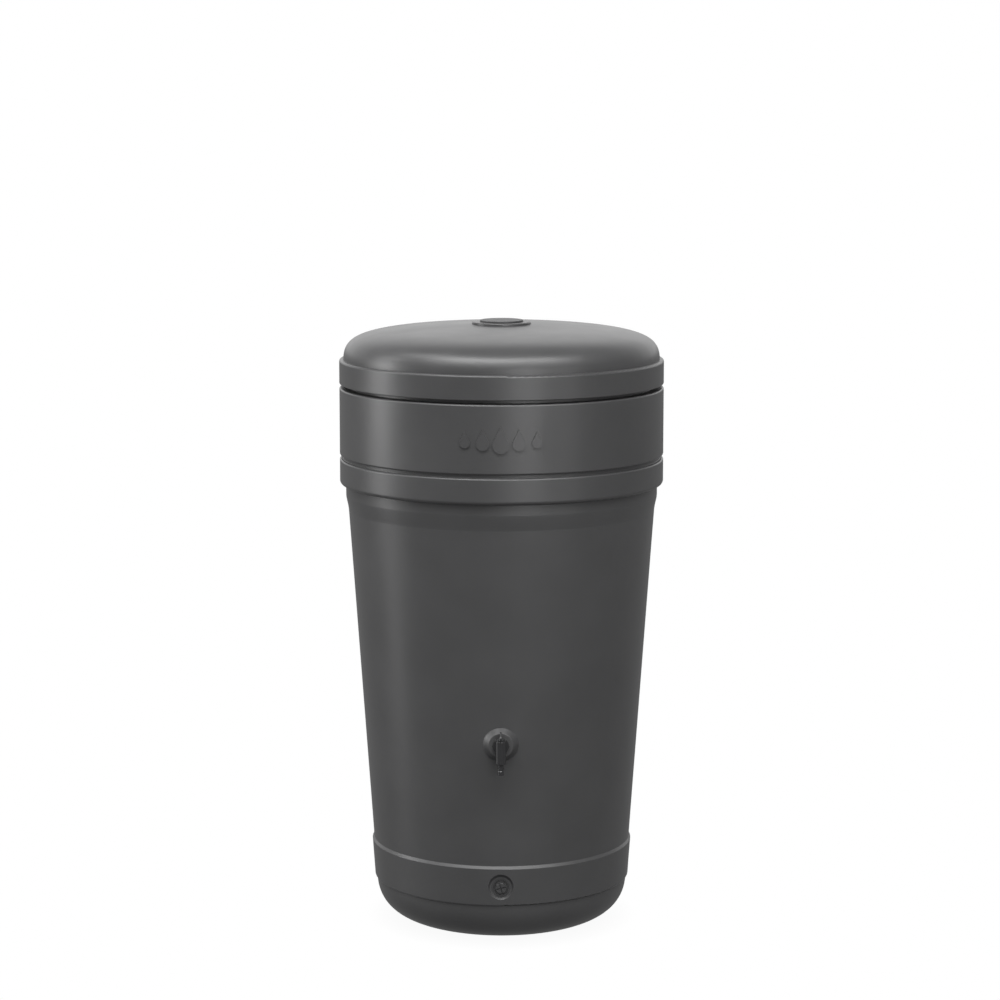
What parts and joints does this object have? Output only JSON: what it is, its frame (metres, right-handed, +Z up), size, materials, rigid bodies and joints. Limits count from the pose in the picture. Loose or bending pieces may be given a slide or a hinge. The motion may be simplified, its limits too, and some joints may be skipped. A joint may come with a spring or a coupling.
{
  "type": "rain barrel",
  "caption": "Tapered upright rain barrel with a banded collar, lift-off domed lid, inlet cap, small lever tap and a drain plug near the foot.",
  "frame": {"origin": "centre of the base, on the floor", "axes": "+Z up along the barrel's axis; the tap and the drain plug face -Y"},
  "size_m": [0.58, 0.583, 1.089],
  "materials": {
    "barrel_plastic": "satin moulded polyethylene, anthracite",
    "lid_plastic": "satin moulded polyethylene, anthracite",
    "cap_plastic": "matt moulded plastic, dark grey",
    "tap_plastic": "semi-gloss moulded plastic, near black",
    "handle_plastic": "semi-gloss moulded plastic, near black",
    "insert_plastic": "matt moulded plastic, dark grey",
    "plug_plastic": "matt moulded plastic, dark grey",
    "seal_rubber": "matt black rubber"
  },
  "bodies": {
    "barrel": {"barrel_shell": "barrel_plastic", "tap_body": "tap_plastic", "gland_ring": "tap_plastic", "tap_outer_washer": "seal_rubber", "tap_inner_washer": "seal_rubber", "tap_back_nut": "tap_plastic", "drain_insert": "insert_plastic"},
    "lid": {"lid_shell": "lid_plastic"},
    "cap": {"inlet_cap": "cap_plastic"},
    "handle": {"tap_handle": "handle_plastic", "valve_cock": "tap_plastic", "cock_seals": "seal_rubber"},
    "gasket": {"drain_gasket": "seal_rubber"},
    "plug": {"drain_plug": "plug_plastic"}
  },
  "joints": [
    {"name": "lid_lift", "type": "slide", "parent": "barrel", "child": "lid", "axis": [0, 0, 1], "range_m": [0, 0.3]},
    {"name": "cap_lift", "type": "slide", "parent": "lid", "child": "cap", "axis": [0, 0, 1], "range_m": [0, 0.06]},
    {"name": "tap_turn", "type": "hinge", "parent": "barrel", "child": "handle", "pos_m": [0, -0.2791, 0.372], "axis": [0, 0, 1], "range_deg": [0, 90]},
    {"name": "drain_out", "type": "slide", "parent": "barrel", "child": "gasket", "axis": [0, -1, 0], "range_m": [0, 0.02]},
    {"name": "drain_turn", "type": "hinge", "parent": "gasket", "child": "plug", "pos_m": [0, -0.2331, 0.1095], "axis": [0, -1, 0], "range_deg": [0, 3600]}
  ],
  "couplings": [
    {"joint": "drain_out", "follows": "drain_turn", "m_per_rad": 0.00031831}
  ]
}
